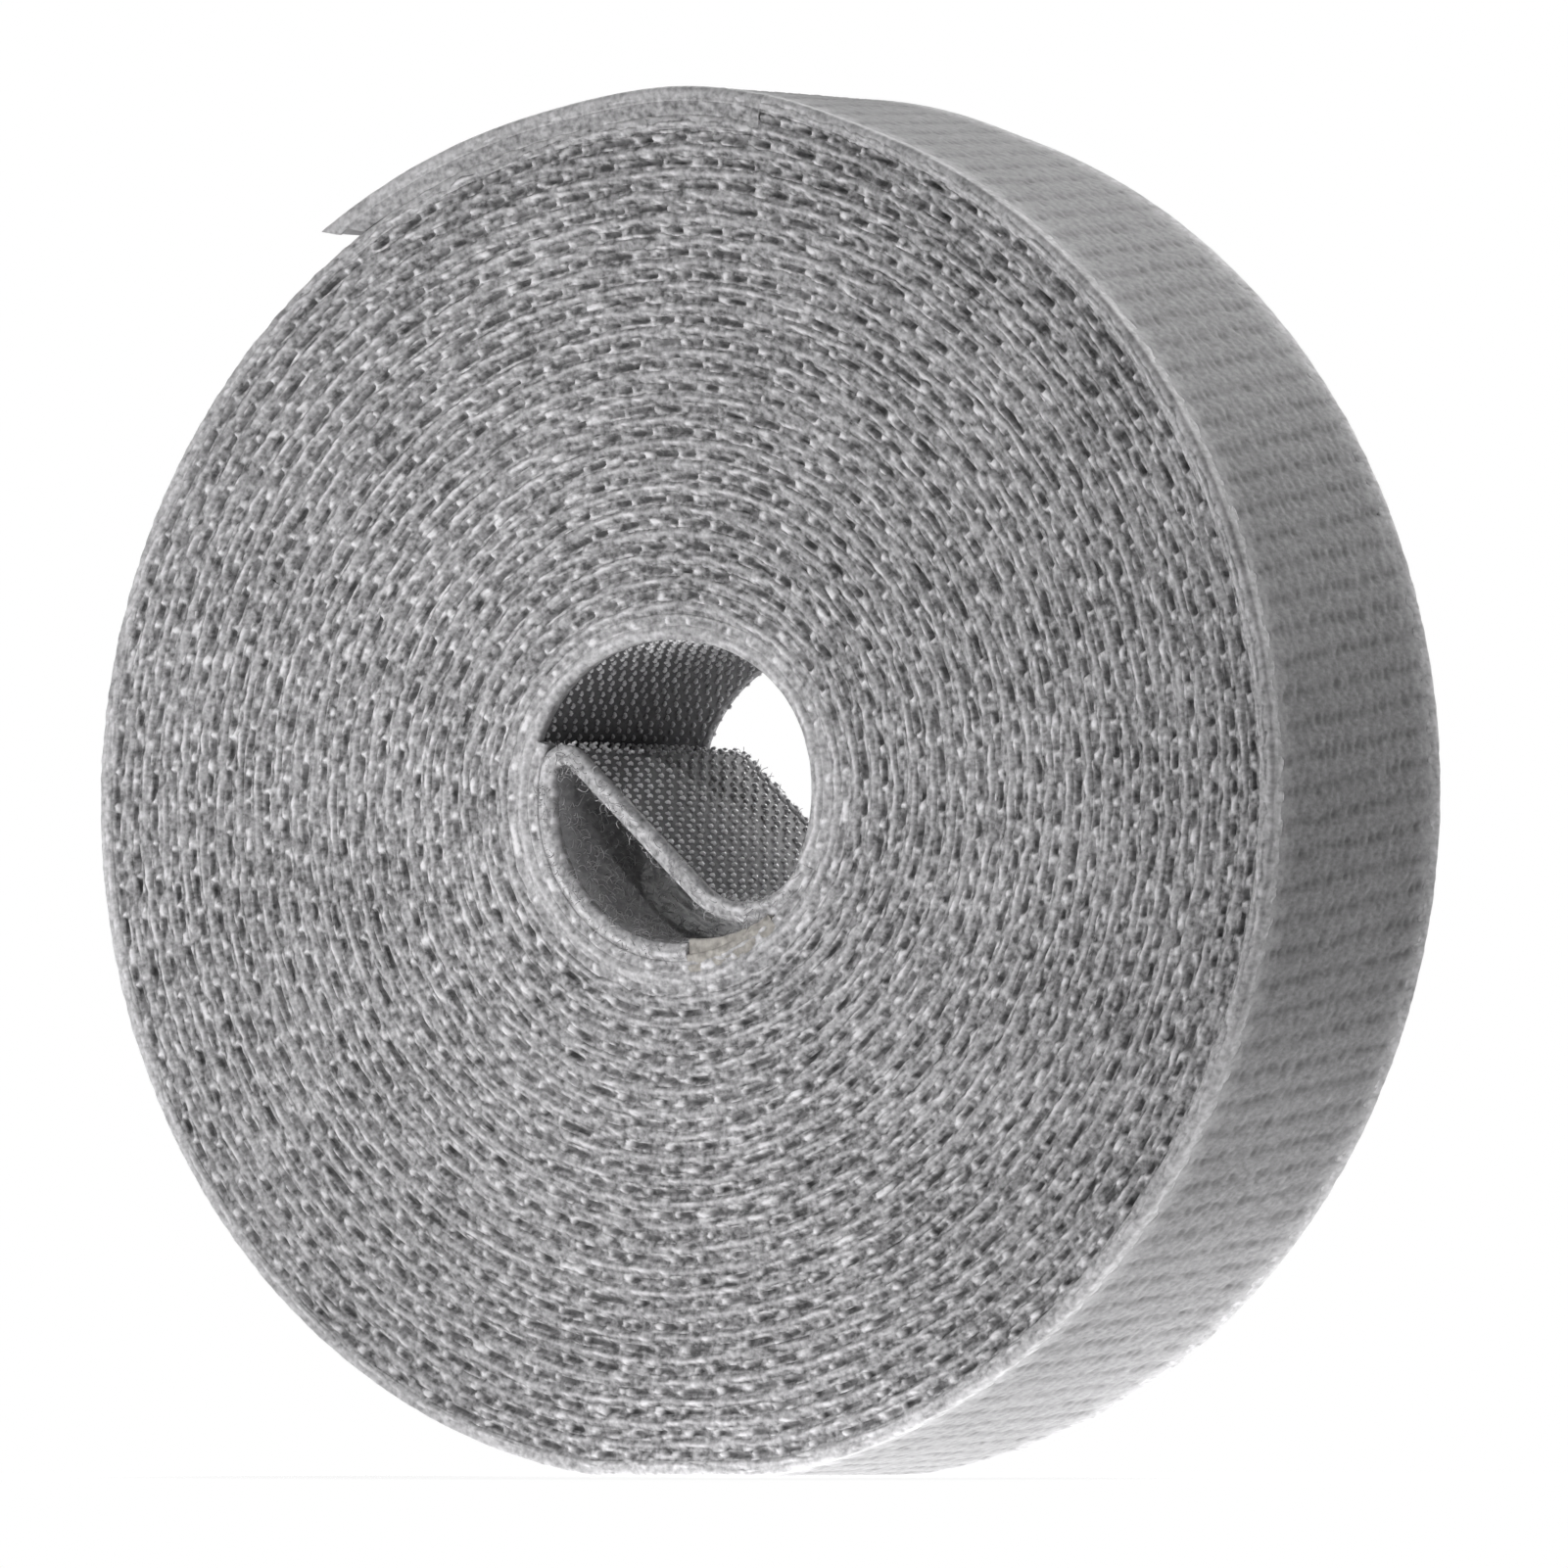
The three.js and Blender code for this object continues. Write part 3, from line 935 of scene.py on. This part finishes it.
# the wound roll
rollPieces = [piece("rollGround", [growBand(rollPath, "web", ground)])]
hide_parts("roll_hook_web")
for side, facing in sides.items():
    for part, path in (("Inner", innerPath), ("Outer", outerPath)):
        edge = reliefMesh(path, tapeEdge, edgeSections, side, seeds["edge"] + facing)
        rollPieces.append(piece("rollEdge" + side + part, [edge]))
    for part, path in buriedPaths.items():
        gap = reliefMesh(path, gapFill, gapSections, side, seeds["gap"] + facing)
        rollPieces.append(piece("rollGapPile" + side + part, [gap]))
lips = edgePair(lipPath, boreLip, lipSections, seeds["lip"])
for path, form in zip(tuckPaths, tucks):  # the fluff past the tail's cut thins out
    lips += edgePair(path, form, bothSides("boreTuck", form), seeds["tuck"])
rollPieces.append(piece("boreLips", lips))
boreHooks = [hookMesh(path, seeds["hooks"] + index) for index, path in enumerate(wallPaths)]
rollPieces.append(piece("boreHooks", boreHooks))
rimPile = pileMesh(rimPath, facePile, seeds["rim"])
borders = edgePair(rimPath, rimBorder, borderSections, seeds["rimBorder"], apart=0)
rollPieces.append(piece("rimBorders", borders))
rollPieces.append(piece("rimPile", [rimPile]))
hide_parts("roll_loop_web")
for made in rollPieces:
    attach(made, "roll")
print("roll wound")


# a loose stretch of the tape has both faces open
def looseStretch(name, path, edges, pile, more):
    return [
        piece(name + "Ground", [growBand(path, "web", ground)]),
        piece(name + "Hooks", [hookMesh(hookPaths[name], seeds[name])]),
        piece(name + "Edges", edges),
        *more,
        piece(name + "Pile", [pile]),
    ]


def slantCut(mesh):
    top = hookRadius(woundAngle) + tape["endLift"] + tape["endLoft"] + tape["thickness"]
    for vertex in mesh.vertices:
        aside = vertex.co / mm - rollCentre
        radius = math.hypot(aside.x, aside.z)
        turn = math.atan2(aside.z, aside.x)
        share = smoothStep((math.degrees(turn) - tape["endAngle"]) / tape["endSlantReach"] + 1)
        turn -= share * tape["endSlant"] * (top - radius) / radius
        vertex.co.x = (rollCentre.x + radius * math.cos(turn)) * mm
        vertex.co.z = (rollCentre.z + radius * math.sin(turn)) * mm


# both ends, built over the short stretches beside their joints
endPile = pileMesh(endPilePath, facePile, seeds["rim"])  # the rim's pattern goes on
edges = edgePair(endEdgePath, endEdge, endSections, seeds["outerEnd"])
edges += edgePair(endPilePath, rimBorder, borderSections, seeds["endBorder"], apart=0)
endPieces = looseStretch("outerEnd", endEdgePath, edges, endPile, [])
for made in endPieces:
    slantCut(made.data)
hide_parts("outer_end_hook_web")
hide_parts("outer_end_loop_web")
tailPile = pileMesh(tailPath, curledPile, seeds["tailPile"])
edges = edgePair(tailPath, looseEdge, looseSections, seeds["innerTail"])
fluff = [grow(tailPile, "fluff", tailFluff, shape=curlFibreObject, seed=seeds["fluff"])]
fluff += [grow(edge, "fluff", edgeFringe, shape=edgeFibreObject, seed=seeds["fringe"]) for edge in edges]
fluffPiece = piece("innerTailFluff", fluff)
tailPieces = looseStretch("innerTail", tailPath, edges, tailPile, [fluffPiece])
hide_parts("inner_tail_hook_web")
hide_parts("inner_tail_loop_web")
for body, joint, pieces in (("outer_end", "outer_end_peel", endPieces),
                            ("inner_tail", "inner_tail_flex", tailPieces)):
    for made in pieces:
        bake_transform(made)
print("ends joined")

for helper in list(helpers.objects):
    bpy.data.objects.remove(helper)
bpy.data.collections.remove(helpers)

# white floor and soft light
stage = {
    "floorSize": 2.4, "floorLevel": -0.0002, "floorColour": 0.85,
    "seenColour": 0.35, "seenGlow": 0.85,             # what the camera sees near the roll
    "whiteFrom": 0.02, "whiteTo": 0.06,              # the floor turns white away from it
    "glowAt": (0.015, 0, 0), "glowFrom": 0.015, "glowTo": 0.05,  # a bright patch lights the roll from below
    "nearGlow": 1.5, "farGlow": 0.1, "skyLight": 0.02,
}


def floorMaterial():
    material, pen = startMaterial("whiteFloor")
    seen = pen.make("ShaderNodeLightPath", out="Is Camera Ray")
    spot = pen.make("ShaderNodeTexCoord", out="Object")
    away = spot.vector("LENGTH", spot, out="Value")
    aside = spot.vector("DISTANCE", spot, stage["glowAt"], out="Value")
    paint = pen.make("ShaderNodeBsdfDiffuse", None, {"Color": (stage["floorColour"],) * 3 + (1,)})
    near = pen.make("ShaderNodeEmission", None, {"Strength": stage["nearGlow"]})
    far = pen.make("ShaderNodeEmission", None, {"Strength": stage["farGlow"]})
    outside = ease(pen, aside, stage["glowFrom"], stage["glowTo"])
    glow = pen.make("ShaderNodeMixShader", None, {0: outside, 1: near, 2: far})
    lit = pen.make("ShaderNodeAddShader", None, {0: paint, 1: glow})
    shadowed = pen.make("ShaderNodeBsdfDiffuse", None, {"Color": (stage["seenColour"],) * 3 + (1,)})
    pale = pen.make("ShaderNodeEmission", None, {"Strength": stage["seenGlow"]})
    pale = pen.make("ShaderNodeAddShader", None, {0: shadowed, 1: pale})
    white = pen.make("ShaderNodeEmission", None, {"Strength": 1.0})
    faded = ease(pen, away, stage["whiteFrom"], stage["whiteTo"])
    shown = pen.make("ShaderNodeMixShader", None, {0: faded, 1: pale, 2: white})
    endMaterial(pen, pen.make("ShaderNodeMixShader", None, {0: seen, 1: lit, 2: shown}))
    return material


def layFloor():
    half = stage["floorSize"] / 2
    level = stage["floorLevel"]
    mesh = bpy.data.meshes.new("floor")
    mesh.from_pydata([(-half, -half, level), (half, -half, level), (half, half, level), (-half, half, level)], [],
                     [(0, 1, 2, 3)])
    mesh.materials.append(floorMaterial())
    floor = bpy.data.objects.new("floor", mesh)
    bpy.context.scene.collection.objects.link(floor)


def lightSky():
    world = bpy.data.worlds.new("whiteStudio")
    world.use_nodes = True
    world.node_tree.nodes.clear()
    pen = Wire(world.node_tree)
    path = pen.make("ShaderNodeLightPath", out="Is Camera Ray")
    mirrored = pen.math("MAXIMUM", path.other("Is Glossy Ray"), path.other("Is Transmission Ray"))
    seen = pen.math("MAXIMUM", path, mirrored)
    sky = pen.make("ShaderNodeBackground", None, {"Color": (1, 1, 1, 1), "Strength": stage["skyLight"]})
    white = pen.make("ShaderNodeBackground", None, {"Color": (1, 1, 1, 1), "Strength": 1.0})
    shown = pen.make("ShaderNodeMixShader", None, {0: seen, 1: sky, 2: white})
    endMaterial(pen, shown, "World")
    bpy.context.scene.world = world


lamps = {
    "key": {"kind": "AREA", "from": (-0.06, -0.12, 0.01), "size": 0.08, "energy": 0.17},
    "back": {"kind": "AREA", "from": (-0.02, 0.6, 0.85), "size": 0.8, "energy": 13.0},
}
boreSpot = {"kind": "SPOT", "spot_size": math.radians(2), "spot_blend": 0.5, "shadow_soft_size": 0.03}
lamps["frontSpot"] = dict(boreSpot, **{"from": (0.14, -0.5, 0.42)}, energy=36.0)  # narrow lamps into the bore
lamps["rearSpot"] = dict(boreSpot, **{"from": (0.06, 0.55, 0.3)}, energy=52.0)
lampTarget = Vector((0.002, 0, rollCentre.z * mm))


def hangLamps():
    for name, lamp in lamps.items():
        data = bpy.data.lights.new(name, lamp["kind"])
        for setting in lamp.keys() - {"kind", "from"}:
            setattr(data, setting, lamp[setting])
        light = bpy.data.objects.new(name, data)
        bpy.context.scene.collection.objects.link(light)
        light.location = lamp["from"]
        light.rotation_euler = (lampTarget - Vector(lamp["from"])).to_track_quat("-Z", "Y").to_euler()


layFloor()
lightSky()
hangLamps()
bpy.context.scene.view_settings.view_transform = "Standard"
print("stage lit")
